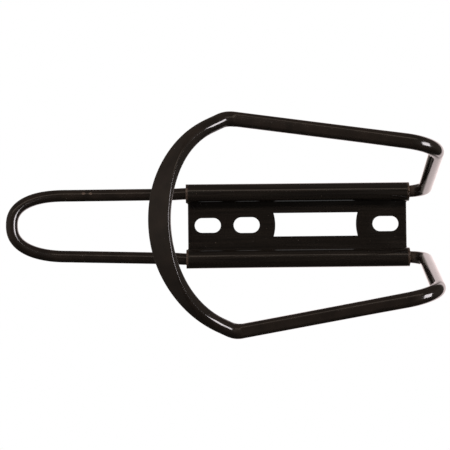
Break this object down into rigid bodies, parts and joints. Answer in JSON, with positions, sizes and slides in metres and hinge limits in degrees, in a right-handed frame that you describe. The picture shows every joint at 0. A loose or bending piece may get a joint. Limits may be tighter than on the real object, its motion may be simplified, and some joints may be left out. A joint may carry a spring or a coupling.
{
  "type": "water bottle cage",
  "caption": "Bicycle bottle cage of bent steel rod: a back loop and a slanted front hoop with a flattened band, held in the rolled edges of a slotted mounting bracket.",
  "frame": {"origin": "middle of the footprint, on the plane that the back of the bracket lies on", "axes": "+X along the bottle, towards its base and the bottom of the cage; +Y across the cage; +Z away from the bicycle frame, towards the front hoop"},
  "size_m": [0.1504, 0.0718, 0.0792],
  "materials": {
    "bracket_paint": "gloss",
    "rod_paint": "gloss"
  },
  "bodies": {
    "root": {"mounting_bracket": "bracket_paint", "top_loop_rod": "rod_paint", "front_hoop_rod": "rod_paint"}
  },
  "joints": []
}
